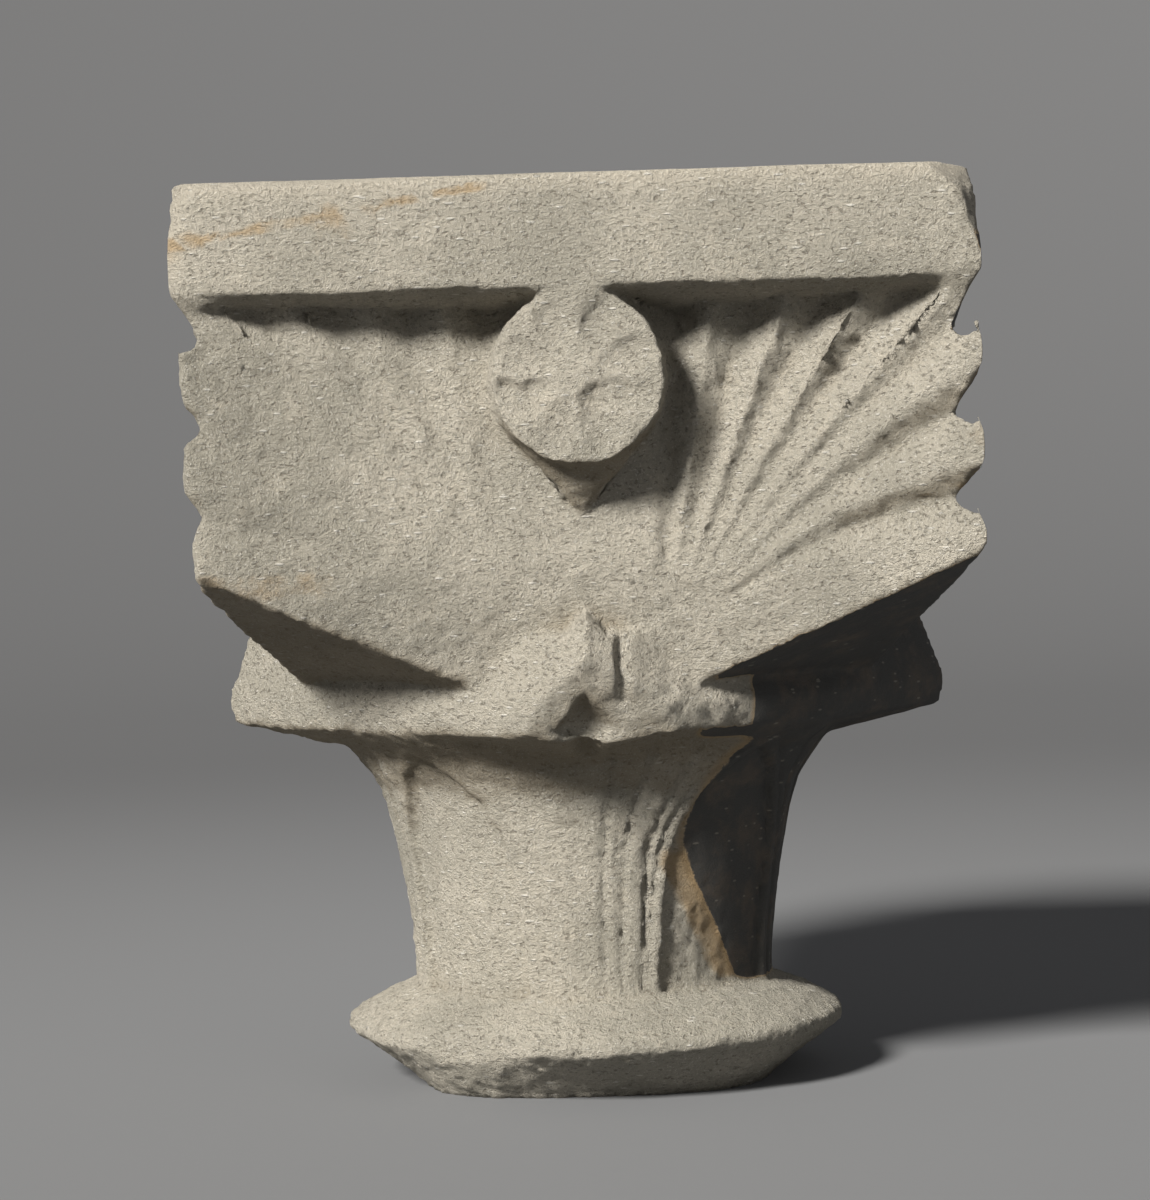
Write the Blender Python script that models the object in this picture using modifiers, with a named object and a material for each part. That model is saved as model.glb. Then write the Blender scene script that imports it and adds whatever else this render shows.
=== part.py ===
"""Carved stone capital with pleated corner fans, rosettes, a tier of keeled leaves and a ring at its foot.

Metres, +Z up. The origin is the middle of the lower bed, and the worn main face looks along -Y.
"""

import math

import bmesh
import bpy
from mathutils import Matrix, Vector

# Heights of the tiers, from the lower bed up
RING_BEVEL_HEIGHT = 0.020
RING_LIP_HEIGHT = 0.004
RING_SLOPE_HEIGHT = 0.013
NECK_HEIGHT = 0.064
BELL_HEIGHT = 0.038
LEAF_LIP_HEIGHT = 0.010
LEAF_HEIGHT = 0.049
FAN_ABOVE_LEAF = 0.101
BAND_HEIGHT = 0.041

# Abacus and the hollow faces under it
ABACUS_WIDTH = 0.286
BAND_UNDERCUT_DEPTH = 0.040
BAND_UNDERCUT_SLOPE = 0.31
FACE_HOLLOW = 0.023
FOOT_HOLLOW = 0.040
CORNER_ARRIS_LENGTH = 0.097
CORNER_UNDERSIDE_SLOPE = 0.474

# Pleats of each half fan, measured from the middle of its face
FAN_FOCUS_OFFSET = 0.029
FAN_FOCUS_BELOW_BAND = 0.129
FIRST_PLEAT_OFFSET = 0.035
PLEAT_PITCH = 0.0283
TOP_PLEAT_COUNT = 4
FIRST_NOTCH_BELOW_BAND = 0.009
NOTCH_PITCH = 0.034
NOTCH_COUNT = 3
PLEAT_DEPTH = 0.0092
PLEAT_WIDTH = 0.0250
NOTCH_DEPTH = 0.0065
NOTCH_WIDTH = 0.0150
PLEAT_BOW = 0.012
PLEAT_START_SHARE = 0.2
PLEAT_END_SHARE = 1.1
WORN_HALF_FAN_SHARE = 0.3

# Keeled leaves of the lower tier
LEAF_KEEL_REACH = 0.140
LEAF_END_OFFSET = 0.066
LEAF_END_REACH = 0.0915
LEAF_TOP_SHARE = 0.87
LEAF_LIP_SHARE = 0.98
LEAF_ROOT_RADIUS = 0.094

# Neck with its four arched panels
NECK_RADIUS = 0.0692
NECK_TOP_RADIUS = 0.0780
BELL_TOP_RADIUS = 0.104
NECK_CURVE = 1.6
BELL_CURVE = 2.4
PANEL_DEPTH = 0.0035
PANEL_HALF_WIDTH = 0.027
PANEL_ARCH_HEIGHT = 0.043
PANEL_APEX_BELOW_LIP = 0.010
PANEL_CUTTER_START = 0.050
PANEL_CUTTER_LENGTH = 0.080
REED_DEPTH = 0.0020
REED_HALF_WIDTH = 0.0022
REED_ANGLES = (7.5, 15.5)
REED_SPREAD = 6.0
REED_SPREAD_START = 0.55
REED_END_GAP = 0.004
REED_END_SHARE = 0.4

# Ring at the foot
RING_RADIUS = 0.096
RING_SLOPE_SWELL = 0.003
BED_HALF_WIDTH = 0.067
BED_SQUARENESS = 3.2

# Rosette of each face
ROSETTE_RADIUS = 0.032
ROSETTE_BELOW_BAND = 0.032
ROSETTE_SETBACK = 0.001
ROSETTE_BEVEL = 0.001
ROSETTE_ROOT_DEPTH = 0.008
PETAL_COUNT = 8
PETAL_DEPTH = 0.0030
PETAL_REACH = 0.0195
PETAL_HALF_LENGTH = 0.0115
PETAL_HALF_WIDTH = 0.0068
BUTTON_RADIUS = 0.0055
BUTTON_FLATNESS = 0.7
BUTTON_SETBACK = 0.004
PENDANT_DROP = 0.050
PENDANT_TIP_RADIUS = 0.0015
PENDANT_TIP_RISE = 0.001
PENDANT_BROW_SETBACK = 0.009

# Breaks: lengths lost along X, Y and Z at the front top corners, and depths elsewhere
RIGHT_CORNER_BREAK = (0.019, 0.045, 0.017)
RIGHT_BROW_BREAK = (0.010, 0.028, 0.034)
LEFT_CORNER_BREAK = (0.011, 0.022, 0.026)
LEFT_ARRIS_BREAK_POINT = (-0.1395, -0.143, 0.247)
LEFT_ARRIS_BREAK_AWAY = (-1.0, -0.16, -0.06)
KEEL_BREAK_DEPTH = 0.018
KEEL_BREAK_OFFSET = 0.004
KEEL_BREAK_AWAY = (0.12, -0.90, -0.42)
RING_BREAK_ANGLE = -30.0
RING_BREAK_DEPTH = 0.004
BREAK_SIZE = 0.100

# Fineness of the turned and hollow shapes
TURN_STEPS = 40
ROSETTE_STEPS = 28
FACE_COLUMNS = 8
PLEAT_STATIONS = 5
NECK_ROWS = 8
REED_ROWS = 5
ARCH_STEPS = 6

RING_TOP_Z = RING_BEVEL_HEIGHT + RING_LIP_HEIGHT
NECK_FOOT_Z = RING_TOP_Z + RING_SLOPE_HEIGHT
BELL_FOOT_Z = NECK_FOOT_Z + NECK_HEIGHT
LIP_Z = BELL_FOOT_Z + BELL_HEIGHT
KEEL_TIP_Z = LIP_Z + LEAF_LIP_HEIGHT
LEAF_TOP_Z = KEEL_TIP_Z + LEAF_HEIGHT
BAND_Z = LEAF_TOP_Z + FAN_ABOVE_LEAF
TOP_Z = BAND_Z + BAND_HEIGHT
CORNER_TIP_Z = BAND_Z - CORNER_ARRIS_LENGTH
ROSETTE_Z = BAND_Z - ROSETTE_BELOW_BAND
HALF = ABACUS_WIDTH / 2
OVERLAP = 0.012
WELD = 0.00001
QUARTER = math.pi / 2


def clear_scene():
    """Empties the scene of whatever it holds."""
    for thing in list(bpy.data.objects):
        bpy.data.objects.remove(thing)


def new_collection(name):
    """Adds a collection to the scene."""
    collection = bpy.data.collections.new(name)
    bpy.context.scene.collection.children.link(collection)
    return collection


def stone_material():
    """Pale buff limestone, dull and grainy."""
    material = bpy.data.materials.new("buff_stone")
    material.use_nodes = True
    shader = material.node_tree.nodes["Principled BSDF"]
    shader.inputs["Base Color"].default_value = (0.56, 0.51, 0.42, 1.0)
    shader.inputs["Roughness"].default_value = 0.9
    shader.inputs["Metallic"].default_value = 0.0
    return material


def face_outwards(bm):
    """Turns the faces of one closed body outwards."""
    bmesh.ops.recalc_face_normals(bm, faces=bm.faces)
    if bm.calc_volume(signed=True) < 0:
        bmesh.ops.reverse_faces(bm, faces=bm.faces)


def finish(bm, name, collection):
    """Turns a bmesh into an object of the given collection."""
    mesh = bpy.data.meshes.new(name)
    bm.to_mesh(mesh)
    bm.free()
    thing = bpy.data.objects.new(name, mesh)
    collection.objects.link(thing)
    return thing


def as_cutter(thing):
    """Marks a helper that only shapes the capital."""
    thing.hide_render = True
    thing.display_type = "WIRE"
    return thing


def combine(target, other, operation):
    """Adds a Boolean of another object to the target; EXACT leaves open edges where the pleats cross, so it is MANIFOLD."""
    modifier = target.modifiers.new(f"{operation.lower()} {other.name}", "BOOLEAN")
    modifier.operation = operation
    modifier.solver = "MANIFOLD"
    modifier.object = other


def hollow_at(z):
    """How far the middle of a face lies behind its corners at a height."""
    lean = max(0.0, LEAF_TOP_Z - z) / LEAF_HEIGHT
    return FACE_HOLLOW + (FOOT_HOLLOW - FACE_HOLLOW) * lean


def face_depth(offset, z):
    """Distance of the face from the axis, at an offset from the face's middle."""
    share = min(1.0, abs(offset) / HALF)
    return HALF - hollow_at(z) * (1.0 - share**2)


def make_fan_block(collection):
    """The block under the abacus: a cube whose four sides are drawn in towards the axis."""
    foot_z = LIP_Z
    head_z = BAND_Z + OVERLAP
    bm = bmesh.new()
    bmesh.ops.create_cube(bm, size=2.0)
    bmesh.ops.subdivide_edges(bm, edges=bm.edges[:], cuts=FACE_COLUMNS - 1, use_grid_fill=True)
    for vertex in bm.verts:
        u, v, w = vertex.co
        z = foot_z + (head_z - foot_z) * (w + 1) / 2
        across = HALF * u
        along = HALF * v
        vertex.co = (u * face_depth(along, z), v * face_depth(across, z), z)
    return finish(bm, "fan_block", collection)


def add_groove(bm, stations):
    """Adds a tapering groove cutter; a station is its place, outward normal, half width and depth."""
    groove = bmesh.new()
    rings = []
    for index, (place, normal, half_width, depth) in enumerate(stations):
        before = stations[max(index - 1, 0)][0]
        after = stations[min(index + 1, len(stations) - 1)][0]
        side = (after - before).cross(normal).normalized()
        corners = (
            place + side * half_width,
            place - normal * depth,
            place - side * half_width,
            place + normal * depth,
        )
        rings.append([groove.verts.new(corner) for corner in corners])
    for first, second in zip(rings, rings[1:]):
        for corner in range(4):
            following = (corner + 1) % 4
            groove.faces.new((first[corner], first[following], second[following], second[corner]))
    groove.faces.new(rings[0])
    groove.faces.new(rings[-1])
    face_outwards(groove)
    mesh = bpy.data.meshes.new("groove")
    groove.to_mesh(mesh)
    groove.free()
    bm.from_mesh(mesh)
    bpy.data.meshes.remove(mesh)


def pleat_ends():
    """Offset, height, width and depth of each valley's end: under the band, then down the corner."""
    for index in range(TOP_PLEAT_COUNT):
        yield FIRST_PLEAT_OFFSET + PLEAT_PITCH * index, BAND_Z, PLEAT_WIDTH, PLEAT_DEPTH
    for index in range(NOTCH_COUNT):
        end_z = BAND_Z - FIRST_NOTCH_BELOW_BAND - NOTCH_PITCH * index
        yield HALF, end_z, NOTCH_WIDTH, NOTCH_DEPTH


def pleat_stations(end_offset, end_z, width, depth, hand):
    """Stations of one valley of a half fan, from its focus outwards; hand is 1 or -1."""
    focus_z = BAND_Z - FAN_FOCUS_BELOW_BAND
    run = end_offset - FAN_FOCUS_OFFSET
    rise = end_z - focus_z
    length = math.hypot(run, rise)
    stations = []
    for index in range(PLEAT_STATIONS):
        along = index / (PLEAT_STATIONS - 1)
        share = PLEAT_START_SHARE + (PLEAT_END_SHARE - PLEAT_START_SHARE) * along
        bow = PLEAT_BOW * (run / length) ** 2 * math.sin(math.pi * min(share, 1.0))
        offset = FAN_FOCUS_OFFSET + run * share - bow * rise / length
        z = focus_z + rise * share + bow * run / length
        place = Vector((hand * offset, -face_depth(offset, z), z))
        stations.append((place, Vector((0, -1, 0)), width / 2 * share, depth * share))
    return stations


def make_pleats(side, hand, collection):
    """Cutter for the valleys of one half fan."""
    worn = side == 0 and hand < 0
    depth_share = WORN_HALF_FAN_SHARE if worn else 1.0
    bm = bmesh.new()
    for end_offset, end_z, width, depth in pleat_ends():
        add_groove(bm, pleat_stations(end_offset, end_z, width, depth * depth_share, hand))
    bm.transform(Matrix.Rotation(side * QUARTER, 4, "Z"))
    return as_cutter(finish(bm, f"pleats_{side}_{'left' if hand < 0 else 'right'}", collection))


def make_corner_underside(corner, collection):
    """Cutter below one overhanging corner: a tilted slab."""
    tilt = math.atan(CORNER_UNDERSIDE_SLOPE)
    reach = HALF * math.sqrt(2)
    bm = bmesh.new()
    bmesh.ops.create_cube(bm, size=ABACUS_WIDTH)
    bm.transform(
        Matrix.Rotation(corner * QUARTER + QUARTER / 2, 4, "Z")
        @ Matrix.Translation((reach, 0, CORNER_TIP_Z))
        @ Matrix.Rotation(-tilt, 4, "Y")
        @ Matrix.Translation((0, 0, -HALF))
    )
    return as_cutter(finish(bm, f"corner_underside_{corner}", collection))


def make_abacus(collection):
    """The square band with its sloping underside."""
    foot_half = HALF - BAND_UNDERCUT_DEPTH
    foot_z = BAND_Z - BAND_UNDERCUT_DEPTH * BAND_UNDERCUT_SLOPE
    bm = bmesh.new()
    bmesh.ops.create_cube(bm, size=2.0)
    middle = bmesh.ops.bisect_plane(
        bm, geom=bm.verts[:] + bm.edges[:] + bm.faces[:], plane_co=(0, 0, 0), plane_no=(0, 0, 1)
    )
    waist = {item for item in middle["geom_cut"] if isinstance(item, bmesh.types.BMVert)}
    for vertex in bm.verts:
        if vertex in waist:
            half, z = HALF, BAND_Z
        elif vertex.co.z > 0:
            half, z = HALF, TOP_Z
        else:
            half, z = foot_half, foot_z
        vertex.co = (math.copysign(half, vertex.co.x), math.copysign(half, vertex.co.y), z)
    return as_cutter(finish(bm, "abacus", collection))


def leaf_plan():
    """Plan of the leaf tier: a keel on each face axis and two leaf ends beside each corner."""
    end_angle = math.atan2(LEAF_END_OFFSET, LEAF_END_REACH)
    end_reach = math.hypot(LEAF_END_OFFSET, LEAF_END_REACH)
    for side in range(4):
        axis = side * QUARTER
        yield axis, LEAF_KEEL_REACH
        yield axis + end_angle, end_reach
        yield axis + QUARTER - end_angle, end_reach


def make_leaf_tier(collection):
    """The tier of four keeled leaves, drawn in upwards and undercut to the bell."""
    plan = list(leaf_plan())
    levels = (
        (LEAF_TOP_Z, LEAF_TOP_SHARE, 1.0),
        (KEEL_TIP_Z, 1.0, 1.0),
        (LIP_Z, LEAF_LIP_SHARE, 1.0),
        (LIP_Z - LEAF_LIP_HEIGHT, 1.0, 0.0),
    )
    bm = bmesh.new()
    rings = []
    for z, share, leafy in levels:
        ring = []
        for angle, reach in plan:
            radius = share * (reach * leafy + LEAF_ROOT_RADIUS * (1 - leafy))
            ring.append(bm.verts.new((radius * math.cos(angle), radius * math.sin(angle), z)))
        rings.append(ring)
    for upper, lower in zip(rings, rings[1:]):
        bmesh.ops.bridge_loops(bm, edges=ring_edges(bm, upper) + ring_edges(bm, lower))
    bm.faces.new(rings[0])
    bm.faces.new(rings[-1])
    face_outwards(bm)
    return as_cutter(finish(bm, "leaf_tier", collection))


def ring_edges(bm, ring):
    """The closed loop of edges through a ring of vertices."""
    edges = []
    for index, vertex in enumerate(ring):
        following = ring[(index + 1) % len(ring)]
        edges.append(bm.edges.get((vertex, following)) or bm.edges.new((vertex, following)))
    return edges


def neck_radius(z):
    """Radius of the neck and of the bell that flares out of it."""
    rise = max(0.0, z - NECK_FOOT_Z) / NECK_HEIGHT
    if rise <= 1.0:
        return NECK_RADIUS + (NECK_TOP_RADIUS - NECK_RADIUS) * rise**NECK_CURVE
    flare = (z - BELL_FOOT_Z) / BELL_HEIGHT
    bend = (NECK_TOP_RADIUS - NECK_RADIUS) * NECK_CURVE * BELL_HEIGHT / NECK_HEIGHT
    rest = BELL_TOP_RADIUS - NECK_TOP_RADIUS - bend
    return NECK_TOP_RADIUS + bend * flare + rest * flare**BELL_CURVE


def make_turned_neck(name, inset, collection):
    """Neck and bell as a turned solid, its skin set in by the inset."""
    head_z = LIP_Z + OVERLAP / 4
    foot_z = NECK_FOOT_Z - OVERLAP / 2
    bm = bmesh.new()
    points = [Vector((0, 0, head_z + inset))]
    for row in range(NECK_ROWS + 1):
        z = head_z + (foot_z - head_z) * row / NECK_ROWS
        lift = inset if row == 0 else -inset if row == NECK_ROWS else 0.0
        points.append(Vector((neck_radius(z) - inset, 0, z + lift)))
    points.append(Vector((0, 0, foot_z - inset)))
    line = [bm.verts.new(point) for point in points]
    for first, second in zip(line, line[1:]):
        bm.edges.new((first, second))
    mesh = bpy.data.meshes.new(name)
    bm.to_mesh(mesh)
    bm.free()
    thing = bpy.data.objects.new(name, mesh)
    collection.objects.link(thing)
    screw = thing.modifiers.new("turn", "SCREW")
    screw.steps = TURN_STEPS
    screw.render_steps = TURN_STEPS
    screw.use_merge_vertices = True
    screw.merge_threshold = WELD
    return as_cutter(thing)


def panel_outline():
    """Pointed arch in its own plane: across, then up from the neck's foot."""
    apex_z = LIP_Z - PANEL_APEX_BELOW_LIP
    spring_z = apex_z - PANEL_ARCH_HEIGHT
    foot_z = NECK_FOOT_Z - OVERLAP
    arc_radius = (PANEL_ARCH_HEIGHT**2 + PANEL_HALF_WIDTH**2) / (2 * PANEL_HALF_WIDTH)
    half_angle = math.asin(PANEL_ARCH_HEIGHT / arc_radius)
    right = []
    for index in range(ARCH_STEPS + 1):
        angle = half_angle * index / ARCH_STEPS
        across = PANEL_HALF_WIDTH - arc_radius * (1 - math.cos(angle))
        right.append((across, spring_z + arc_radius * math.sin(angle)))
    left = [(-across, z) for across, z in reversed(right[:-1])]
    return [(PANEL_HALF_WIDTH, foot_z)] + right + left + [(-PANEL_HALF_WIDTH, foot_z)]


def make_panels(collection):
    """Four pointed prisms that open the arched panels on the diagonals of the neck."""
    curve = bpy.data.curves.new("panel_outline", "CURVE")
    curve.dimensions = "2D"
    curve.fill_mode = "BOTH"
    curve.extrude = PANEL_CUTTER_LENGTH / 2
    outline = panel_outline()
    spline = curve.splines.new("POLY")
    spline.points.add(len(outline) - 1)
    for point, (across, up) in zip(spline.points, outline):
        point.co = (across, up, 0, 1)
    spline.use_cyclic_u = True
    guide = bpy.data.objects.new("panel_outline", curve)
    collection.objects.link(guide)
    bpy.context.view_layer.update()
    graph = bpy.context.evaluated_depsgraph_get()
    prism = bpy.data.meshes.new_from_object(guide.evaluated_get(graph))
    bpy.data.objects.remove(guide)
    bm = bmesh.new()
    upright = Matrix.Rotation(QUARTER, 4, "X")
    for corner in range(4):
        before = set(bm.verts)
        bm.from_mesh(prism)
        made = [vertex for vertex in bm.verts if vertex not in before]
        place = (
            Matrix.Rotation(corner * QUARTER + QUARTER / 2, 4, "Z")
            @ Matrix.Translation((0, -PANEL_CUTTER_START - PANEL_CUTTER_LENGTH / 2, 0))
            @ upright
        )
        bmesh.ops.transform(bm, matrix=place, verts=made)
    bmesh.ops.remove_doubles(bm, verts=bm.verts, dist=WELD)
    return as_cutter(finish(bm, "arched_panels", collection))


def reed_stations(angle):
    """Stations of one groove that runs up a stem and spreads over the bell."""
    stations = []
    foot_z = NECK_FOOT_Z + REED_END_GAP
    head_z = LIP_Z - REED_END_GAP
    for row in range(REED_ROWS + 1):
        along = row / REED_ROWS
        z = foot_z + (head_z - foot_z) * along
        spread = math.copysign(REED_SPREAD, angle) * max(0.0, along - REED_SPREAD_START)
        around = math.radians(angle + spread) - QUARTER
        outward = Vector((math.cos(around), math.sin(around), 0))
        ease = REED_END_SHARE + (1 - REED_END_SHARE) * math.sin(math.pi * along)
        place = outward * neck_radius(z) + Vector((0, 0, z))
        stations.append((place, outward, REED_HALF_WIDTH * ease, REED_DEPTH * ease))
    return stations


def make_reeds(collection):
    """Cutter for the grooves on the four stems, without the worn half of the front stem."""
    bm = bmesh.new()
    for side in range(4):
        for hand in (-1, 1):
            if side == 0 and hand < 0:
                continue
            for angle in REED_ANGLES:
                add_groove(bm, reed_stations(side * 90 + hand * angle))
    return as_cutter(finish(bm, "reeds", collection))


def make_ring(collection):
    """The ring at the foot: a narrow lip, a slope up to the neck and a bevel to the squarish bed."""
    bm = bmesh.new()
    rings = []
    levels = (
        (NECK_FOOT_Z, NECK_RADIUS, 0.0),
        ((NECK_FOOT_Z + RING_TOP_Z) / 2, (RING_RADIUS + NECK_RADIUS) / 2 + RING_SLOPE_SWELL, 0.0),
        (RING_TOP_Z, RING_RADIUS, 0.0),
        (RING_BEVEL_HEIGHT, RING_RADIUS, 0.0),
        (0.0, BED_HALF_WIDTH, 1.0),
    )
    for z, radius, squared in levels:
        power = 2.0 + (BED_SQUARENESS - 2.0) * squared
        ring = []
        for step in range(TURN_STEPS):
            angle = 2 * math.pi * (step + 0.5) / TURN_STEPS
            cosine = math.cos(angle)
            sine = math.sin(angle)
            reach = radius / (abs(cosine) ** power + abs(sine) ** power) ** (1 / power)
            ring.append(bm.verts.new((reach * cosine, reach * sine, z)))
        rings.append(ring)
    for upper, lower in zip(rings, rings[1:]):
        bmesh.ops.bridge_loops(bm, edges=ring_edges(bm, upper) + ring_edges(bm, lower))
    bm.faces.new(rings[0])
    bm.faces.new(rings[-1])
    face_outwards(bm)
    return as_cutter(finish(bm, "ring", collection))


def make_rosettes(collection):
    """A disc on each face with the pendant that tapers down from it."""
    front = HALF - ROSETTE_SETBACK
    back = HALF - FACE_HOLLOW - ROSETTE_ROOT_DEPTH
    tip = HALF - FACE_HOLLOW - PENDANT_TIP_RISE
    brow = HALF - PENDANT_BROW_SETBACK
    discs = bmesh.new()
    pendants = bmesh.new()
    for side in range(4):
        turn = Matrix.Rotation(side * QUARTER, 4, "Z")
        lay = Matrix.Rotation(QUARTER, 4, "X")
        made = bmesh.ops.create_cone(
            discs,
            cap_ends=True,
            segments=ROSETTE_STEPS,
            radius1=ROSETTE_RADIUS + ROSETTE_BEVEL,
            radius2=ROSETTE_RADIUS - ROSETTE_BEVEL,
            depth=front - back,
        )["verts"]
        place = turn @ Matrix.Translation((0, -(front + back) / 2, ROSETTE_Z)) @ lay
        bmesh.ops.transform(discs, matrix=place, verts=made)
        made = bmesh.ops.create_cone(
            pendants,
            cap_ends=True,
            segments=ROSETTE_STEPS,
            radius1=PENDANT_TIP_RADIUS,
            radius2=ROSETTE_RADIUS - ROSETTE_BEVEL,
            depth=brow - tip,
        )["verts"]
        for vertex in made:
            if vertex.co.z < 0:
                vertex.co.y -= PENDANT_DROP
        place = turn @ Matrix.Translation((0, -(tip + brow) / 2, ROSETTE_Z)) @ lay
        bmesh.ops.transform(pendants, matrix=place, verts=made)
    disc = as_cutter(finish(discs, "rosette_discs", collection))
    pendant = as_cutter(finish(pendants, "rosette_pendants", collection))
    return disc, pendant


def make_petals(collection):
    """Cutter for the hollow petals around the button of each rosette."""
    front = HALF - ROSETTE_SETBACK
    bm = bmesh.new()
    for side in range(4):
        turn = Matrix.Rotation(side * QUARTER, 4, "Z")
        for petal in range(PETAL_COUNT):
            made = bmesh.ops.create_uvsphere(bm, u_segments=8, v_segments=6, radius=1.0)["verts"]
            spin = Matrix.Rotation(2 * math.pi * (petal + 0.5) / PETAL_COUNT, 4, "Y")
            size = Matrix.Diagonal((PETAL_HALF_WIDTH, PETAL_DEPTH, PETAL_HALF_LENGTH, 1))
            place = (
                turn
                @ Matrix.Translation((0, -front, ROSETTE_Z))
                @ spin
                @ Matrix.Translation((0, 0, PETAL_REACH))
                @ size
            )
            bmesh.ops.transform(bm, matrix=place, verts=made)
    return as_cutter(finish(bm, "petals", collection))


def make_buttons(collection):
    """The small domed eye of each rosette."""
    bm = bmesh.new()
    for side in range(4):
        made = bmesh.ops.create_uvsphere(bm, u_segments=8, v_segments=4, radius=BUTTON_RADIUS)["verts"]
        place = (
            Matrix.Rotation(side * QUARTER, 4, "Z")
            @ Matrix.Translation((0, -(HALF - BUTTON_SETBACK), ROSETTE_Z))
            @ Matrix.Diagonal((1, BUTTON_FLATNESS, 1, 1))
        )
        bmesh.ops.transform(bm, matrix=place, verts=made)
    return as_cutter(finish(bm, "buttons", collection))


def corner_break(x_sign, x_cut, y_cut, z_cut):
    """Point and direction of a break that takes these lengths off the edges at a front top corner."""
    place = (x_sign * (HALF - x_cut), -HALF, TOP_Z)
    return place, (x_sign / x_cut, -1 / y_cut, 1 / z_cut)


def breaks():
    """Broken places: name, a point on the break, and the direction that fell away."""
    yield "right_corner", *corner_break(1, *RIGHT_CORNER_BREAK)
    yield "right_corner_brow", *corner_break(1, *RIGHT_BROW_BREAK)
    yield "left_corner", *corner_break(-1, *LEFT_CORNER_BREAK)
    yield "left_arris", LEFT_ARRIS_BREAK_POINT, LEFT_ARRIS_BREAK_AWAY
    keel_foot = (KEEL_BREAK_OFFSET, -LEAF_KEEL_REACH + KEEL_BREAK_DEPTH, KEEL_TIP_Z)
    yield "front_keel", keel_foot, KEEL_BREAK_AWAY
    around = math.radians(RING_BREAK_ANGLE) - QUARTER
    reach = RING_RADIUS - RING_BREAK_DEPTH
    edge = (reach * math.cos(around), reach * math.sin(around), RING_TOP_Z)
    yield "ring_edge", edge, (math.cos(around), math.sin(around), 0.0)


def make_break(name, place, away, collection):
    """Cutter whose inner face is the break."""
    bm = bmesh.new()
    bmesh.ops.create_cube(bm, size=BREAK_SIZE)
    turn = Vector(away).to_track_quat("Z", "Y").to_matrix().to_4x4()
    bm.transform(Matrix.Translation(place) @ turn @ Matrix.Translation((0, 0, BREAK_SIZE / 2)))
    return as_cutter(finish(bm, f"break_{name}", collection))


def build_capital():
    """Builds the one carved stone from its tiers."""
    clear_scene()
    parts = new_collection("stone_capital")
    cutters = new_collection("cutters")
    capital = make_fan_block(parts)
    capital.name = "capital"
    capital.data.materials.append(stone_material())
    for side in range(4):
        for hand in (-1, 1):
            combine(capital, make_pleats(side, hand, cutters), "DIFFERENCE")
    for corner in range(4):
        combine(capital, make_corner_underside(corner, cutters), "DIFFERENCE")
    combine(capital, make_leaf_tier(cutters), "UNION")
    combine(capital, make_abacus(cutters), "UNION")
    discs, pendants = make_rosettes(cutters)
    combine(discs, make_petals(cutters), "DIFFERENCE")
    combine(discs, make_buttons(cutters), "UNION")
    combine(capital, pendants, "UNION")
    combine(capital, discs, "UNION")
    neck = make_turned_neck("neck_skin", 0.0, cutters)
    combine(neck, make_reeds(cutters), "DIFFERENCE")
    combine(neck, make_panels(cutters), "DIFFERENCE")
    combine(neck, make_turned_neck("neck_core", PANEL_DEPTH, cutters), "UNION")
    combine(neck, make_ring(cutters), "UNION")
    combine(capital, neck, "UNION")
    for name, place, away in breaks():
        combine(capital, make_break(name, place, away, cutters), "DIFFERENCE")


build_capital()
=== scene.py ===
"""Dresses the carved stone capital: weathered stone, dark crust, studio floor, light and camera.

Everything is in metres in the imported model's frame: +Z up, the worn main face looking along -Y.
"""

import logging
import math
from dataclasses import dataclass, field
from enum import Enum

import bpy
import numpy as np
from mathutils import Matrix, Vector, noise


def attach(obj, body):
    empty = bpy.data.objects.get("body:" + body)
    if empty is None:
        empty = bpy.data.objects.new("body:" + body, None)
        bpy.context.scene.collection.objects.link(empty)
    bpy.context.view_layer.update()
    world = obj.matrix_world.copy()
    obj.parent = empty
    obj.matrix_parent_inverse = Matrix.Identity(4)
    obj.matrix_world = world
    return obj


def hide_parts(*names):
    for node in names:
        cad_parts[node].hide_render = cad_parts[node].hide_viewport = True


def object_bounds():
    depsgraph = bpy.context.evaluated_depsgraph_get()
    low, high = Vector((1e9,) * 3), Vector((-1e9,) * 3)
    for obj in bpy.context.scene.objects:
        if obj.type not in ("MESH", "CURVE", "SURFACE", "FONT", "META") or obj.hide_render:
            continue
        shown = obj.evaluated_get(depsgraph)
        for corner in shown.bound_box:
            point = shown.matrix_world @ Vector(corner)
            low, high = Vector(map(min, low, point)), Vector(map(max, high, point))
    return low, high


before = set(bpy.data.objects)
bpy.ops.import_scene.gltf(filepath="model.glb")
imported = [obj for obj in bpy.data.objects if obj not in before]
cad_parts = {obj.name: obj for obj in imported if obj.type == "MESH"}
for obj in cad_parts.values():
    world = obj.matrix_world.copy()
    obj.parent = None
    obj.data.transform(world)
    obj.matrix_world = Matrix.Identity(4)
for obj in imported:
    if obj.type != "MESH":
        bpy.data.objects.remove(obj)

CAD_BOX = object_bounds()
LOG = logging.getLogger("capital")

Rgb = tuple[float, float, float]
Span = tuple[float, float]
Path = list[tuple[float, float]]
Socket = bpy.types.NodeSocket


class Side(Enum):
    """The four faces of the capital, by the quarter turns from the main face."""

    FRONT = 0
    RIGHT = 1
    BACK = 2
    LEFT = 3

    def turn(self) -> np.ndarray:
        """Rotation matrix that takes the main face to this one."""
        return np.array(Matrix.Rotation(self.value * math.pi / 2, 3, "Z"))


class Cut(Enum):
    """Cross sections of a carved line."""

    VEE = "vee"
    ROUND = "round"

    def depth(self, away: np.ndarray) -> np.ndarray:
        """Share of the full depth.

        Args:
            away: Distance from the line, as a share of its half width.

        Returns:
            1 on the line, 0 beyond its edge.
        """
        inside = np.clip(1.0 - away, 0.0, 1.0)
        return inside if self is Cut.VEE else np.sin(inside * math.pi / 2) ** 2


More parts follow.
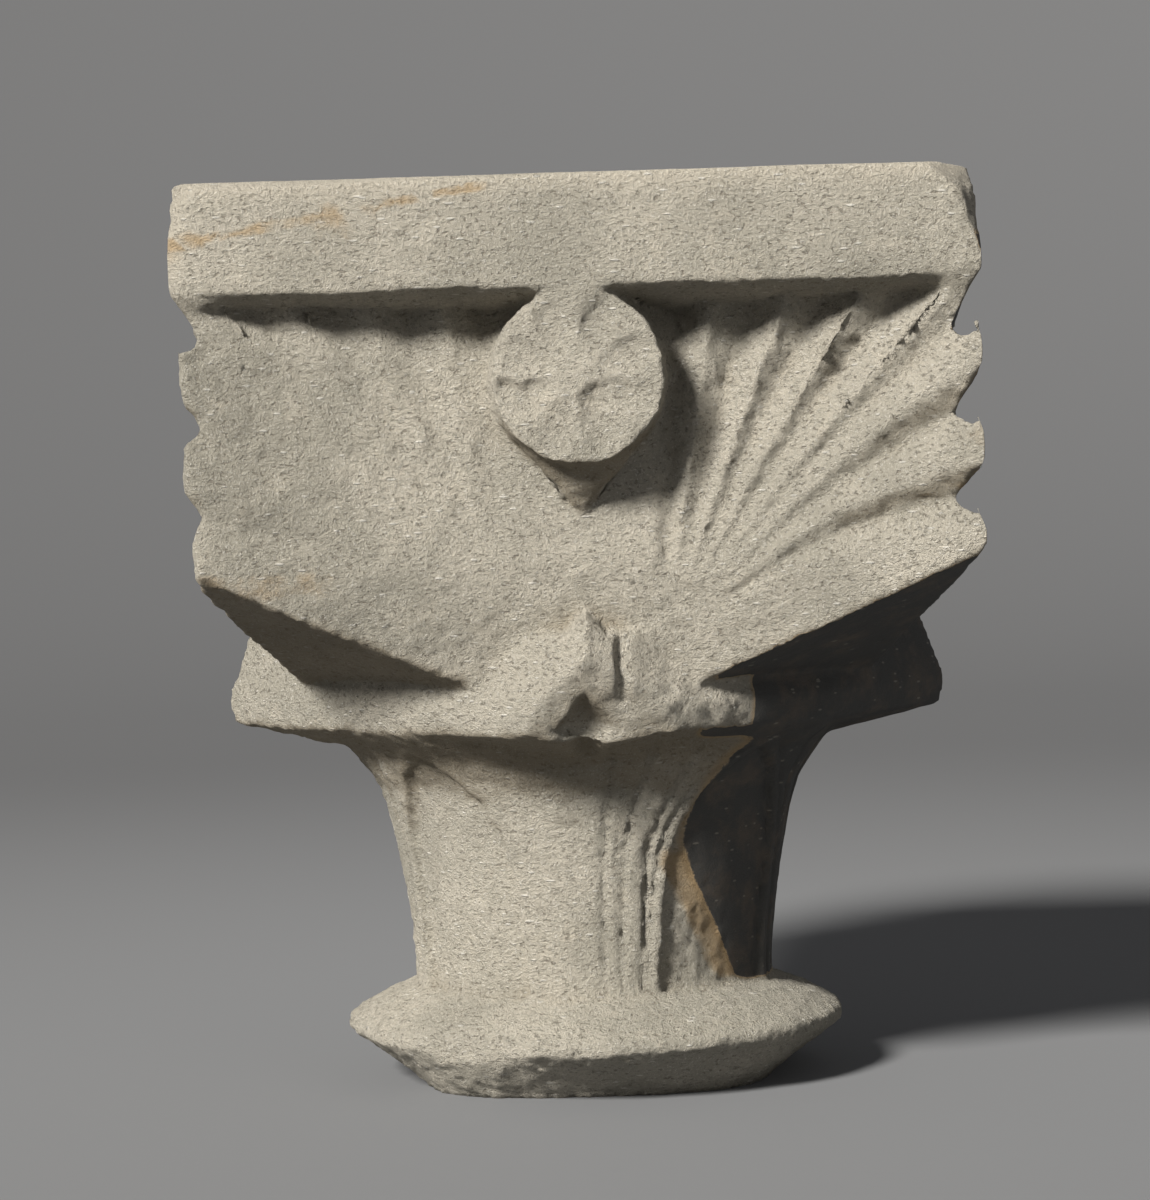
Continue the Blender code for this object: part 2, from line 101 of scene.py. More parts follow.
def deselect_all() -> None:
    """Leaves nothing selected, so that an operator acts only on what is picked next."""
    if bpy.context.mode != "OBJECT":
        bpy.ops.object.mode_set(mode="OBJECT")
    bpy.ops.object.select_all(action="DESELECT")


def pick(thing: bpy.types.Object) -> None:
    """Makes one object the selected and active one.

    Args:
        thing: The object to pick.
    """
    deselect_all()
    thing.select_set(True)
    bpy.context.view_layer.objects.active = thing


def ramp(values: np.ndarray, low: float, high: float) -> np.ndarray:
    """Smooth step from 0 to 1.

    Args:
        values: Numbers to map.
        low: Where the step starts.
        high: Where the step ends; it may lie below low, which turns the step round.

    Returns:
        The mapped numbers.
    """
    share = np.clip((values - low) / (high - low), 0.0, 1.0)
    return share * share * (3.0 - 2.0 * share)


def border(values: np.ndarray, middle: np.ndarray | float, width: float) -> np.ndarray:
    """Straight step from 0 to 1 across a border.

    Args:
        values: Numbers to map.
        middle: Where the step is halfway.
        width: How wide the step is.

    Returns:
        The mapped numbers.
    """
    return np.clip((values - middle) / width + 0.5, 0, 1)


@dataclass(frozen=True)
class Grain:
    """One pattern of fractal noise.

    Attributes:
        size: Size of the largest grain in metres.
        octaves: Number of halvings of the grain that are added.
        seed: Shift that gives another pattern.
    """

    size: float
    octaves: int
    seed: float

    def at(self, points: np.ndarray) -> np.ndarray:
        """Reads the pattern.

        Args:
            points: Places in metres, one row each.

        Returns:
            One value for each point, mostly within -1 to 1.
        """
        seed = self.seed
        shifted = points / self.size + np.array([seed * 17.3, seed * 5.1, seed * 9.7])
        return np.array([noise.fractal(Vector(p), 0.9, 2.0, self.octaves) for p in shifted])


@dataclass(frozen=True)
class Spot:
    """A round spot on a face, by its place across and up and its two radii."""

    across: float
    up: float
    outer: float
    inner: float

    def mask(self, across: np.ndarray, up: np.ndarray) -> np.ndarray:
        """1 within the inner radius, 0 beyond the outer one."""
        return ramp(np.hypot(across - self.across, up - self.up), self.outer, self.inner)


def line_distance(across: np.ndarray, up: np.ndarray, path: Path) -> np.ndarray:
    """Distance from a line of straight pieces, in its own plane.

    Args:
        across: First coordinate of the points.
        up: Second coordinate of the points.
        path: The line's corners.

    Returns:
        Distance of each point from the nearest piece.
    """
    nearest = np.full(len(across), np.inf)
    for (x0, y0), (x1, y1) in zip(path, path[1:]):
        run, rise = x1 - x0, y1 - y0
        along = ((across - x0) * run + (up - y0) * rise) / (run**2 + rise**2)
        share = np.clip(along, 0.0, 1.0)
        away = np.hypot(across - x0 - share * run, up - y0 - share * rise)
        nearest = np.minimum(nearest, away)
    return nearest


@dataclass
class Relief:
    """A dense mesh that is carved by moving its points.

    Attributes:
        thing: The object whose mesh is carved.
    """

    thing: bpy.types.Object
    points: np.ndarray = field(init=False)
    normals: np.ndarray = field(init=False)
    edges: np.ndarray = field(init=False)

    def __post_init__(self) -> None:
        """Reads the mesh."""
        self.read()

    def read(self) -> None:
        """Reads points, normals and edges from the mesh."""
        mesh = self.thing.data
        count = len(mesh.vertices)
        self.points = np.empty(count * 3)
        mesh.vertices.foreach_get("co", self.points)
        self.points = self.points.reshape(-1, 3)
        self.normals = np.empty(count * 3)
        mesh.vertex_normals.foreach_get("vector", self.normals)
        self.normals = self.normals.reshape(-1, 3)
        self.edges = np.empty(len(mesh.edges) * 2, np.int64)
        mesh.edges.foreach_get("vertices", self.edges)
        self.edges = self.edges.reshape(-1, 2)

    def write(self) -> None:
        """Writes the points back and reads the new normals."""
        mesh = self.thing.data
        mesh.vertices.foreach_set("co", self.points.ravel())
        mesh.update()
        self.read()

    def averaged(self, values: np.ndarray, rounds: int) -> np.ndarray:
        """Values blurred along the mesh.

        Args:
            values: One value or one row for each point.
            rounds: How often each point takes the mean of its neighbours.

        Returns:
            The blurred values.
        """
        count = len(self.points)
        first, second = self.edges.T
        valence = np.bincount(first, minlength=count)
        valence = valence + np.bincount(second, minlength=count)
        flat = values.reshape(count, -1).copy()
        for _ in range(rounds):
            for column in range(flat.shape[1]):
                one = flat[:, column]
                total = np.bincount(first, one[second], count)
                total = total + np.bincount(second, one[first], count)
                flat[:, column] = 0.5 * one + 0.5 * total / valence
        return flat.reshape(values.shape)

    def soften(self, share: np.ndarray, rounds: int) -> None:
        """Wears edges down.

        Args:
            share: How much of the wear each point takes, from 0 to 1.
            rounds: How far the wear reaches.
        """
        worn = self.averaged(self.points, rounds)
        self.points += (worn - self.points) * share[:, None]
        self.write()

    def push(self, depth: np.ndarray) -> None:
        """Moves each point along its normal.

        Args:
            depth: Distance for each point; above 0 is outwards.
        """
        self.points += self.normals * depth[:, None]

    def store(self, name: str, values: np.ndarray) -> None:
        """Keeps a mask on the mesh for the material to read.

        Args:
            name: The attribute's name.
            values: One value for each point.
        """
        mask = self.thing.data.attributes.new(name, "FLOAT", "POINT")
        mask.data.foreach_set("value", np.clip(values, 0.0, 1.0).astype(np.float32))


@dataclass(frozen=True)
class Fan:
    """Pleats of a half fan, which spread from a focus near the face's lower middle.

    Lengths are in metres, and widths and depths are those at the far end of a pleat. A span runs
    from no effect to the full one. What starts with worn is for the left half of the main face.
    """

    half: float = 0.143
    band_z: float = 0.299
    leaf_top_z: float = 0.198
    leaf_height: float = 0.049
    hollow: float = 0.023
    foot_hollow: float = 0.040
    focus_offset: float = 0.029
    focus_below_band: float = 0.129
    first_offset: float = 0.035
    pitch: float = 0.0283
    top_count: int = 4
    first_notch: float = 0.009
    notch_pitch: float = 0.034
    notch_count: int = 3
    depth: float = 0.0115
    notch_depth: float = 0.0085
    width: float = 0.0285
    notch_width: float = 0.023
    bow: float = 0.012
    stations: int = 7
    first_share: float = 0.1
    share_run: float = 1.05
    reach: Span = (0.05, 1.1)
    foot_z: float = 0.176
    band_gap: float = 0.004
    rosette_z: float = 0.267
    rosette_reach: float = 0.0345
    pendant_half: float = 0.034
    pendant_z: Span = (0.212, 0.262)
    least_facing: float = 0.35
    corner_fade: Span = (0.141, 0.133)
    most_sink: float = 0.012
    worn_depth: float = 0.32
    worn_gain: float = 0.5
    worn_z: Span = (0.275, 0.296)

    def face(self, offset: np.ndarray, z: np.ndarray) -> np.ndarray:
        """Distance of the uncarved face from the axis."""
        lean = np.clip(self.leaf_top_z - z, 0.0, None) / self.leaf_height
        hollow = self.hollow + (self.foot_hollow - self.hollow) * lean
        return self.half - hollow * (1.0 - np.clip(np.abs(offset) / self.half, 0.0, 1.0) ** 2)

    def ends(self) -> list[tuple[float, float, float, float]]:
        """Offset, height, width and depth of the far end of each valley."""
        top = [
            (self.first_offset + self.pitch * index, self.band_z, self.width, self.depth)
            for index in range(self.top_count)
        ]
        first_z = self.band_z - self.first_notch
        side = [
            (self.half, first_z - self.notch_pitch * index, self.notch_width, self.notch_depth)
            for index in range(self.notch_count)
        ]
        return top + side

    def valley(self, offset: np.ndarray, z: np.ndarray) -> np.ndarray:
        """Depth of the pleats.

        Args:
            offset: Distance from the face's middle, above 0.
            z: Height.

        Returns:
            Depth at each point, 0 on the ribs.
        """
        focus_z = self.band_z - self.focus_below_band
        deepest = np.zeros(len(z))
        for end_offset, end_z, width, depth in self.ends():
            run, rise = end_offset - self.focus_offset, end_z - focus_z
            length = math.hypot(run, rise)
            path = []
            for index in range(self.stations):
                share = self.first_share + self.share_run * index / (self.stations - 1)
                bow = self.bow * (run / length) ** 2 * math.sin(math.pi * min(share, 1.0))
                path.append((
                    self.focus_offset + run * share - bow * rise / length,
                    focus_z + rise * share + bow * run / length,
                ))
            along = ((offset - self.focus_offset) * run + (z - focus_z) * rise) / length**2
            reach = np.clip(along, *self.reach)
            away = line_distance(offset, z, path) / (width / 2 * reach)
            deepest = np.maximum(deepest, Cut.VEE.depth(away) * depth * reach)
        return deepest


@dataclass(frozen=True)
class Neck:
    """Carved lines of the neck: reeds on the stems and pointed arches between them.

    Lengths are in metres and angles in degrees round to the right. The fades are heights from the
    lip or the foot, and the worn shares are for the left reeds of the main face and the left arch.
    """

    radius: float = 0.073
    foot_z: float = 0.037
    lip_z: float = 0.139
    reed_width: float = 0.0030
    reed_depth: float = 0.0019
    reed_angles: tuple[float, ...] = (3.5, 9.5, 16.5)
    arch_angle: float = 45.0
    arch_half_width: float = 0.0275
    arch_apex_z: float = 0.129
    arch_height: float = 0.044
    fillet_width: float = 0.0028
    fillet_depth: float = 0.0016
    fillet_gap: float = 0.0055
    arch_steps: int = 10
    arch_reach: float = 50.0
    reed_spring: float = 0.55
    reed_foot_spread: float = 0.9
    reed_lip_spread: float = 1.7
    lip_fade: Span = (-0.002, -0.008)
    foot_fade: Span = (-0.001, 0.003)
    worn_reed_share: float = 0.15
    worn_arch_share: float = 0.12
    crust_heights: tuple[float, ...] = (0.030, 0.040, 0.060, 0.080, 0.095, 0.105, 0.130)
    crust_angles: tuple[float, ...] = (75, 55, 44, 33, 28, 29, 37)

    def crust_border(self, z: np.ndarray) -> np.ndarray:
        """Degrees round to the right where the neck's dark crust begins, by height."""
        return np.interp(z, self.crust_heights, self.crust_angles)

    def reed(self, angle: float) -> Path:
        """Line of one reed, around and up, which spreads over the bell."""
        around = math.radians(angle) * self.radius
        spring = self.foot_z + (self.lip_z - self.foot_z) * self.reed_spring
        return [
            (around * self.reed_foot_spread, self.foot_z + self.foot_fade[1]),
            (around, spring),
            (around * self.reed_lip_spread, self.lip_z),
        ]

    def arch(self, grow: float) -> Path:
        """Outline of a pointed arch, across and up.

        Args:
            grow: How far it lies outside the panel's own edge.

        Returns:
            The outline's points.
        """
        half = self.arch_half_width + grow
        height = self.arch_height + grow
        spring = self.arch_apex_z - self.arch_height
        bend = (height**2 + half**2) / (2 * half)
        most = math.asin(height / bend)
        right = [(half, self.foot_z)]
        for index in range(self.arch_steps + 1):
            angle = most * index / self.arch_steps
            right.append((half - bend * (1 - math.cos(angle)), spring + bend * math.sin(angle)))
        return right + [(-across, up) for across, up in reversed(right[:-1])]


@dataclass
class Graph:
    """Short ways to place shader nodes.

    Attributes:
        tree: The node tree that is built.
    """

    tree: bpy.types.NodeTree

    def node(self, kind: str) -> bpy.types.Node:
        """Adds a node of the given type."""
        return self.tree.nodes.new(kind)

    def attribute(self, name: str) -> Socket:
        """Reads a mask that is kept on the mesh."""
        made = self.node("ShaderNodeAttribute")
        made.attribute_name = name
        return made.outputs["Fac"]

    def noise(self, place: Socket, scale: float, detail: float, rough: float) -> Socket:
        """Adds a noise texture.

        Args:
            place: Coordinates.
            scale: Grains to the metre.
            detail: Octaves.
            rough: Share of the finer octaves.

        Returns:
            Its value.
        """
        made = self.node("ShaderNodeTexNoise")
        self.tree.links.new(place, made.inputs["Vector"])
        made.inputs["Scale"].default_value = scale
        made.inputs["Detail"].default_value = detail
        made.inputs["Roughness"].default_value = rough
        return made.outputs["Fac"]

    def stretched(self, place: Socket, turn: Rgb, scale: Rgb) -> Socket:
        """Turns and stretches coordinates.

        Args:
            place: Coordinates.
            turn: Degrees about each axis.
            scale: Scale along each axis.

        Returns:
            The new coordinates.
        """
        made = self.node("ShaderNodeMapping")
        self.tree.links.new(place, made.inputs["Vector"])
        made.inputs["Rotation"].default_value = [math.radians(angle) for angle in turn]
        made.inputs["Scale"].default_value = scale
        return made.outputs["Vector"]

    def cells(self, place: Socket, scale: float) -> Socket:
        """Distance from the middle of the nearest cell."""
        made = self.node("ShaderNodeTexVoronoi")
        self.tree.links.new(place, made.inputs["Vector"])
        made.inputs["Scale"].default_value = scale
        return made.outputs["Distance"]

    def step(self, value: Socket, low: float, high: float) -> Socket:
        """Maps a value to a smooth step from low to high."""
        made = self.node("ShaderNodeMapRange")
        made.interpolation_type = "SMOOTHSTEP"
        self.tree.links.new(value, made.inputs["Value"])
        made.inputs["From Min"].default_value = low
        made.inputs["From Max"].default_value = high
        return made.outputs["Result"]

    def put(self, value: object, socket: Socket) -> None:
        """Sets or links an input.

        Args:
            value: A colour, a number or another node's output.
            socket: The input.
        """
        if isinstance(value, Socket):
            self.tree.links.new(value, socket)
        elif isinstance(value, tuple):
            socket.default_value = (*value, 1.0)
        else:
            socket.default_value = value

    def mix(self, mask: Socket, under: object, over: object, most: float = 1.0) -> Socket:
        """Mixes two colours.

        Args:
            mask: Where the second colour shows.
            under: The first colour.
            over: The second colour.
            most: The most of the second colour that shows.

        Returns:
            The mixed colour.
        """
        made = self.node("ShaderNodeMix")
        made.data_type = "RGBA"
        share = mask if most == 1.0 else self.math("MULTIPLY", mask, most)
        self.put(share, made.inputs[0])
        self.put(under, made.inputs[6])
        self.put(over, made.inputs[7])
        return made.outputs[2]

    def blend(self, mask: Socket, under: object, over: object) -> Socket:
        """Mixes two numbers by a mask."""
        made = self.node("ShaderNodeMix")
        made.data_type = "FLOAT"
        self.put(mask, made.inputs[0])
        self.put(under, made.inputs[2])
        self.put(over, made.inputs[3])
        return made.outputs[0]

    def math(self, kind: str, first: object, second: object) -> Socket:
        """Adds a Math node."""
        made = self.node("ShaderNodeMath")
        made.operation = kind
        self.put(first, made.inputs[0])
        self.put(second, made.inputs[1])
        return made.outputs[0]

    def sum(self, *parts: tuple[object, float]) -> Socket:
        """Adds values, each times its share."""
        total = None
        for value, share in parts:
            scaled = self.math("MULTIPLY", value, share)
            total = scaled if total is None else self.math("ADD", total, scaled)
        return total


@dataclass(frozen=True)
class StoneFinish:
    """Colours and roughness of the weathered stone and of the crust on it, with brown painted shade
    in its hollows and undersides.

    Scales are grains to the metre, and relief is the depth of the bump in metres.
    """

    buff: Rgb = (0.60, 0.55, 0.455)
    grey: Rgb = (0.42, 0.39, 0.32)
    pit: Rgb = (0.26, 0.23, 0.18)
    cream: Rgb = (0.70, 0.63, 0.51)
    ochre: Rgb = (0.50, 0.34, 0.17)
    # Brown painted shade for hollows and undersides, with some brown grime.
    shade_brown: Rgb = (0.23, 0.17, 0.095)
    shell: Rgb = (0.86, 0.83, 0.76)
    crust: Rgb = (0.046, 0.045, 0.042)
    crust_brown: Rgb = (0.082, 0.067, 0.053)
    roughness: float = 0.93
    crust_roughness: float = 0.60
    specular: float = 0.3
    relief: float = 0.0027
    crust_relief_share: float = 0.30
    broad_scale: float = 14.0
    mottle_scale: float = 60.0
    crumb_scale: float = 480.0
    grain_scale: float = 1100.0
    pit_scale: float = 620.0
    rising_scale: float = 250.0
    falling_scale: float = 210.0

    def material(self) -> bpy.types.Material:
        """Builds the material.

        Returns:
            The finished material.
        """
        material = bpy.data.materials.new("weathered_stone")
        material.use_nodes = True
        tree = material.node_tree
        shader = tree.nodes["Principled BSDF"]
        graph = Graph(tree)
        place = graph.node("ShaderNodeTexCoord").outputs["Object"]
        crust = graph.attribute("crust")

        broad = graph.noise(place, self.broad_scale, 4.0, 0.6)
        mottle = graph.noise(place, self.mottle_scale, 5.0, 0.7)
        bedded = graph.stretched(place, (0.0, 20.0, 0.0), (0.85, 0.85, 1.15))
        crumb = graph.noise(bedded, self.crumb_scale, 5.0, 0.8)
        grain = graph.noise(place, self.grain_scale, 3.0, 0.8)
        slanted = graph.stretched(place, (0.0, 15.0, 40.0), (0.7, 0.7, 1.2))
        pits = graph.step(graph.noise(slanted, self.pit_scale, 3.0, 0.7), 0.56, 0.66)
        upward = graph.stretched(place, (0.0, 32.0, 15.0), (0.30, 0.5, 1.0))
        rising = graph.cells(upward, self.rising_scale)
        downward = graph.stretched(place, (25.0, -50.0, 0.0), (0.26, 0.4, 1.0))
        falling = graph.cells(downward, self.falling_scale)
        rising, falling = graph.step(rising, 0.12, 0.07), graph.step(falling, 0.11, 0.06)
        slivers = graph.math("MAXIMUM", rising, falling)

        colour = graph.mix(graph.step(broad, 0.35, 0.65), self.buff, self.grey)
        colour = graph.mix(graph.step(mottle, 0.52, 0.75), colour, self.cream, 0.5)
        colour = graph.mix(graph.step(crumb, 0.52, 0.38), colour, self.grey, 0.8)
        colour = graph.mix(pits, colour, self.pit, 0.7)
        colour = graph.mix(graph.attribute("worn"), colour, self.cream, 0.55)
        colour = graph.mix(graph.step(grain, 0.54, 0.68), colour, self.shell, 0.6)
        colour = graph.mix(slivers, colour, self.shell, 0.6)
        stained = graph.sum((graph.attribute("stain"), 1.0), (mottle, 0.9))
        colour = graph.mix(graph.step(stained, 0.80, 1.25), colour, self.ochre, 0.7)
        # Painted shade: the "hollow" mask darkens hollows and undersides towards brown, with some
        # brown grime.
        colour = graph.mix(graph.attribute("hollow"), colour, self.shade_brown, 0.6)
        edge = graph.math("SUBTRACT", graph.sum((crust, 1.0), (mottle, 0.25), (crumb, 0.25)), 0.25)
        colour = graph.mix(graph.step(edge, 0.14, 0.46), colour, self.ochre, 0.6)
        black = graph.mix(graph.step(mottle, 0.45, 0.7), self.crust, self.crust_brown)
        black = graph.mix(slivers, black, self.grey, 0.25)
        dark = graph.step(edge, 0.46, 0.53)
        tree.links.new(graph.mix(dark, colour, black), shader.inputs["Base Color"])

        matt = graph.blend(dark, self.roughness, self.crust_roughness)
        tree.links.new(matt, shader.inputs["Roughness"])
        shader.inputs["Specular IOR Level"].default_value = self.specular

        bump = graph.node("ShaderNodeBump")
        bump.inputs["Distance"].default_value = self.relief
        tree.links.new(graph.blend(dark, 1.0, self.crust_relief_share), bump.inputs["Strength"])
        height = graph.sum((crumb, 1.5), (grain, 0.8), (mottle, 0.5), (slivers, 0.35), (pits, -0.5))
        tree.links.new(height, bump.inputs["Height"])
        tree.links.new(bump.outputs["Normal"], shader.inputs["Normal"])
        return material


@dataclass(frozen=True)
class Weather:
    """Wear of edges and skin; lengths in metres, and a span runs from no effect to the full one."""

    arris_reach: Span = (0.118, 0.131)
    under_band: Span = (0.304, 0.297)
    arris_rounds: int = 16
    lobe_reach: Span = (0.118, 0.136)
    lobe_top: Span = (0.004, -0.002)
    lobe_loss: float = 0.0065
    lobe_power: float = 1.6
    broken_lobe_share: float = 0.2
    main_face: Span = (0.2, 0.7)
    left_half: Span = (0.02, -0.05)
    top_edge: Span = (0.32, 0.338)
    edge_share: float = 0.45
    left_share: float = 0.35
    top_share: float = 0.4
    edge_rounds: int = 4
    pleat_foot: Span = (0.165, 0.180)
    pleat_top: Span = (0.302, 0.296)
    pleat_share: float = 0.7
    pleat_rounds: int = 3
    neck_share: float = 0.5
    neck_rounds: int = 1
    bed: Span = (0.330, 0.339)
    bed_hold: float = 0.8
    crust_hold: float = 0.75
    swell: Grain = Grain(0.040, 2, 1.0)
    swell_depth: float = 0.0010
    crumb: Grain = Grain(0.0050, 3, 2.0)
    crumb_depth: float = 0.00070
    skin_loss: float = 0.0003
    proud_rounds: int = 12
    proud: Span = (0.0004, 0.0018)
    chip: Grain = Grain(0.011, 2, 6.0)
    chip_level: Span = (-0.1, 0.6)
    chip_depth: float = 0.0024
    brink: Span = (0.125, 0.142)
    brink_left: Span = (0.02, -0.13)
    brink_loss: float = 0.0010
    brink_left_loss: float = 0.0020
    margin: float = 0.0002
    flat_foot_z: float = 0.0012


@dataclass(frozen=True)
class Losses:
    """Pieces broken off the ring and the main face; a span runs from no loss to the full one."""

    ring_radius: Span = (0.088, 0.096)
    ring_z: Span = (0.034, 0.026)
    ring_angle: float = -22.0
    ring_degrees: Span = (30.0, 10.0)
    ring_grain: Grain = Grain(0.016, 3, 4.0)
    ring_level: Span = (0.05, 0.5)
    ring_depth: float = 0.0035
    leaf_y: Span = (-0.085, -0.100)
    leaf_x: float = -0.001
    leaf_z: float = 0.140
    leaf_narrowing: float = 1.2
    leaf_size: Span = (0.016, 0.007)
    leaf_depth: float = 0.005
    crease_x: float = 0.013
    crease_half: float = 0.003
    crease_top: Span = (0.185, 0.170)
    crease_foot: Span = (0.148, 0.152)
    crease_depth: float = 0.0025
    pits: tuple[Spot, ...] = (
        Spot(-0.026, 0.263, 0.006, 0.001),
        Spot(0.006, 0.259, 0.007, 0.002),
    )
    pit_y: Span = (-0.125, -0.132)
    pit_depth: float = 0.0030


@dataclass(frozen=True)
class StainsAndShade:
    """Painted shade in the hollows and undersides, with some brown grime, pale worn edges and
    ochre; a span runs from none to the full mark.
    """

    # Painted shade: how deep a hollow is and how steeply a face looks down set the darkening;
    # band_hold lightens it near the band.
    hollow_rounds: int = 40
    hollow_blur: int = 3
    hollow_depth: Span = (0.0008, 0.0045)
    hollow_shade_share: float = 0.8
    under_blur: int = 4
    under_slope: Span = (0.25, 0.7)
    under_z: Span = (0.05, 0.09)
    under_shade_share: float = 0.85
    band_z: Span = (0.270, 0.280)
    band_hold: float = 0.75
    top_z: Span = (0.329, 0.338)
    left_x: Span = (-0.134, -0.141)
    left_z: Span = (0.300, 0.310)
    crack_x: float = -0.075
    crack_z: float = 0.328
    crack_slope: float = 0.16
    crack_width: Span = (0.0035, 0.0010)
    crack_end: Span = (-0.025, -0.035)
    crack_share: float = 0.65
    spots: tuple[Spot, ...] = (
        Spot(0.138, 0.243, 0.012, 0.004),
        Spot(-0.138, 0.315, 0.014, 0.004),
    )
    spot_share: float = 0.4
    leaf_top: Span = (0.206, 0.198)
    leaf_foot: Span = (0.186, 0.194)
    leaf_x: Span = (-0.06, -0.10)
    leaf_share: float = 0.5
    halo_outside: Span = (17.0, 6.0)
    halo_inside: Span = (-6.0, 0.0)
    halo_top: Span = (0.098, 0.086)
    halo_foot: Span = (0.036, 0.044)
    halo_share: float = 0.85
    front: Span = (0.05, -0.05)


@dataclass(frozen=True)
class Crust:
    """Where the dark crust lies; lengths in metres, angles in degrees round to the right."""

    normal_rounds: int = 6
    neck_blur: float = 12.0
    tier_angle: float = 33.0
    tier_blur: float = 3.0
    side_slope: float = 0.55
    side_blur: float = 0.25
    under_slope: float = 0.62
    under_blur: float = 0.15
    under_x: Span = (0.036, 0.046)
    under_z: Span = (0.235, 0.215)
    fan_x: Span = (0.09, 0.105)
    fan_z: Span = (0.318, 0.308)
    upper_z: Span = (0.155, 0.165)
    neck_z: Span = (0.137, 0.133)
    ring_z: Span = (0.036, 0.040)
    back_angle: float = 140.0
    back_fade: float = 30.0


@dataclass
class Capital:
    """The one carved stone.

    Attributes:
        node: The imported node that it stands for.
        weld: Points closer than this become one.
        voxel: Grain of the carved mesh.
        most_triangles: What the finished mesh may hold.
        relief: The mesh while it is carved.
    """

    node: str = "capital"
    weld: float = 0.00001
    voxel: float = 0.0014
    most_triangles: int = 195_000
    fan: Fan = Fan()
    neck: Neck = Neck()
    weather: Weather = Weather()
    losses: Losses = Losses()
    stains_and_shade: StainsAndShade = StainsAndShade()
    crust: Crust = Crust()
    finish: StoneFinish = StoneFinish()
    relief: Relief = field(init=False)

    def build(self) -> bpy.types.Object:
        """Carves, weathers and dresses the stone.

        Returns:
            The finished piece.
        """
        self.relief = Relief(self.rough_out())
        self.wear()
        for side in Side:
            self.carve_pleats(side)
        self.soften_pleats()
        self.carve_neck()
        low = self.relief.points[:, 2] < self.neck.lip_z
        self.relief.soften(np.where(low, self.weather.neck_share, 0.0), self.weather.neck_rounds)
        self.carve_losses()
        self.roughen()
        self.thin()
        self.mark()
        return self.dress()

    def rough_out(self) -> bpy.types.Object:
        """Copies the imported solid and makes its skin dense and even.

        Returns:
            The copy.
        """
        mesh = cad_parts[self.node].data.copy()
        mesh.name = "carved_stone"
        thing = bpy.data.objects.new("carved_stone", mesh)
        bpy.context.scene.collection.objects.link(thing)
        pick(thing)
        bpy.ops.object.mode_set(mode="EDIT")
        bpy.ops.mesh.select_all(action="SELECT")
        bpy.ops.mesh.remove_doubles(threshold=self.weld)
        bpy.ops.object.mode_set(mode="OBJECT")
        mesh.materials.clear()
        remesh = thing.modifiers.new("even skin", "REMESH")
        remesh.mode = "VOXEL"
        remesh.voxel_size = self.voxel
        bpy.ops.object.modifier_apply(modifier=remesh.name)
        LOG.info("skin of %d points", len(mesh.vertices))
        return thing

    def wear(self) -> None:
        """Rounds the edges, most on the left half of the main face."""
        relief, weather = self.relief, self.weather
        x, y, z = relief.points.T
        arris = ramp(np.minimum(np.abs(x), np.abs(y)), *weather.arris_reach)
        relief.soften(arris * ramp(z, *weather.under_band), weather.arris_rounds)
        self.round_lobes()
        x, _, z = relief.points.T
        front = ramp(-relief.normals[:, 1], *weather.main_face)
        left = ramp(x, *weather.left_half)
        share = weather.edge_share + weather.left_share * front * left
        share = share + weather.top_share * ramp(z, *weather.top_edge)
        relief.soften(np.clip(share, 0.0, 1.0), weather.edge_rounds)

    def round_lobes(self) -> None:
        """Rounds the lobes between the notches of the four corners."""
        relief, fan, weather = self.relief, self.fan, self.weather
        x, y, z = relief.points.T
        notch = fan.band_z - fan.first_notch - z
        bulge = 2.0 * np.abs(notch / fan.notch_pitch % 1.0 - 0.5)
        top, foot = weather.lobe_top
        lost = weather.lobe_loss * bulge**weather.lobe_power
        lost = lost * ramp(z, fan.band_z + top, fan.band_z + foot)
        lost = np.where((x < 0) & (y < 0), weather.broken_lobe_share * lost, lost)
        for own, other in ((0, 1), (1, 0)):
            near = ramp(np.abs(relief.points[:, other]), *weather.lobe_reach)
            most = fan.half - lost * near
            relief.points[:, own] = np.clip(relief.points[:, own], -most, most)
        relief.write()

    def carve_pleats(self, side: Side) -> None:
        """Cuts the pleats of one face sharp again, shallower on the worn half fan.

        Args:
            side: The face.
        """
        relief, fan = self.relief, self.fan
        local = relief.points @ side.turn()
        facing = -(relief.normals @ side.turn())[:, 1]
        offset, depth, z = np.abs(local[:, 0]), -local[:, 1], local[:, 2]
        rosette = np.hypot(local[:, 0], z - fan.rosette_z)
        pendant = (offset < fan.pendant_half * ramp(z, *fan.pendant_z)) & (z < fan.rosette_z)
        inside = (facing > fan.least_facing) & (z < fan.band_z - fan.band_gap) & (z > fan.foot_z)
        inside = inside & (rosette > fan.rosette_reach) & ~pendant
        worn = (local[:, 0] < 0) & (side is Side.FRONT)
        strength = np.where(worn, fan.worn_depth + fan.worn_gain * ramp(z, *fan.worn_z), 1.0)
        strength = strength * ramp(offset, *fan.corner_fade)
        over = depth - (fan.face(offset, z) - fan.valley(offset, z) * strength)
        sink = np.where(inside & (over < fan.most_sink), np.clip(over, 0.0, None), 0.0)
        relief.points += sink[:, None] * (side.turn() @ np.array([0.0, 1.0, 0.0]))
        relief.write()

    def soften_pleats(self) -> None:
        """Takes the sharpness off the pleats."""
        weather = self.weather
        z = self.relief.points[:, 2]
        share = weather.pleat_share * ramp(z, *weather.pleat_foot) * ramp(z, *weather.pleat_top)
        self.relief.soften(share, weather.pleat_rounds)

